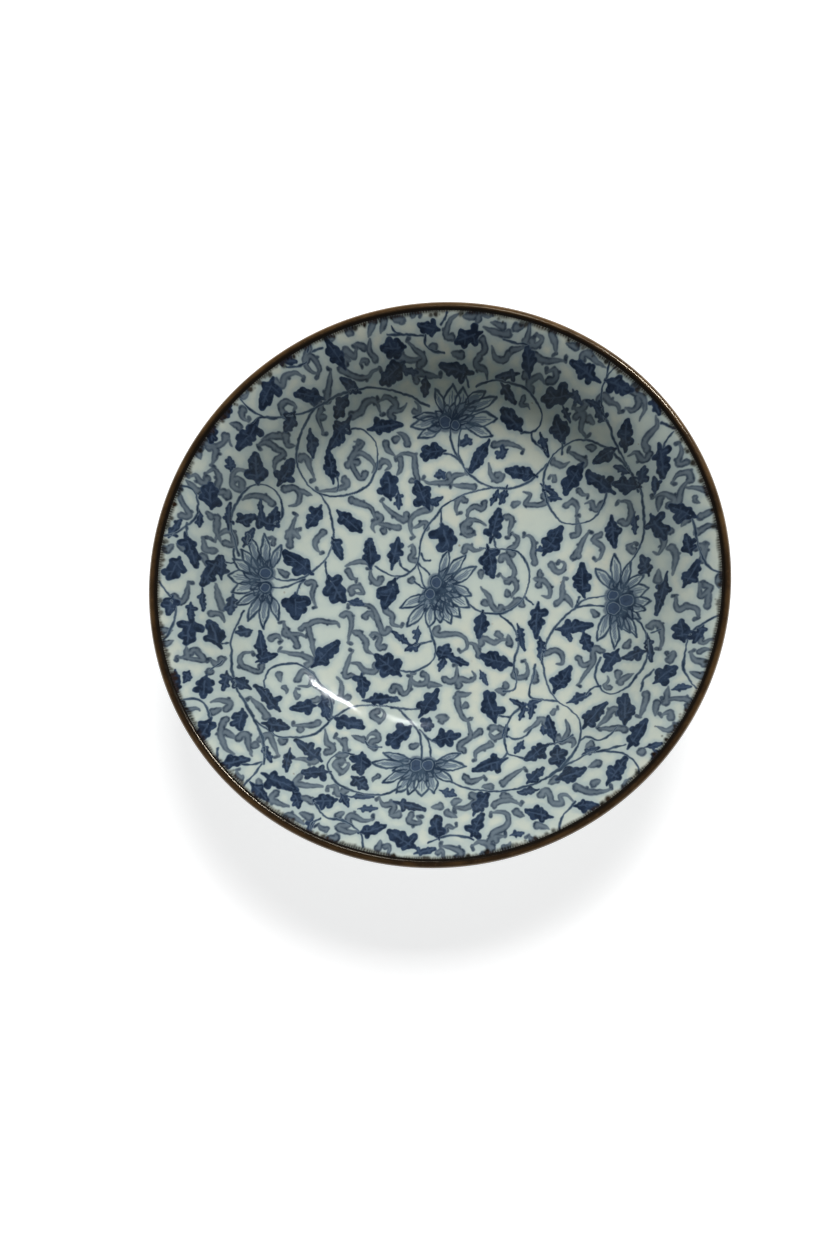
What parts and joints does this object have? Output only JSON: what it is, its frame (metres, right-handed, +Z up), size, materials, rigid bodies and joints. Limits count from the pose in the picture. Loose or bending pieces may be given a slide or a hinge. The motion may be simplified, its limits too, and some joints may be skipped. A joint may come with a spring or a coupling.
{
  "type": "shallow porcelain bowl",
  "caption": "Shallow round porcelain bowl with a flared brown-glazed lip, dense blue scrolling-flower decoration and a raised foot ring, for serving tea sweets or food.",
  "frame": {"origin": "centre of the foot ring, on the plane it stands on", "axes": "+Z up along the bowl's axis of revolution, out of its mouth; +Y away from the viewer, +X to the viewer's right"},
  "size_m": [0.16, 0.16, 0.05],
  "materials": {
    "porcelain_clay": "matte",
    "clear_glaze_inner": "gloss",
    "clear_glaze_outer": "gloss",
    "clear_glaze_foot_well": "gloss",
    "foot_clay": "matte",
    "iron_brown_glaze": "gloss"
  },
  "bodies": {
    "root": {"bowl_shell": "porcelain_clay", "foot_ring": "foot_clay", "inner_glaze": "clear_glaze_inner", "outer_glaze": "clear_glaze_outer", "foot_well_glaze": "clear_glaze_foot_well", "rim_glaze": "iron_brown_glaze"}
  },
  "joints": []
}
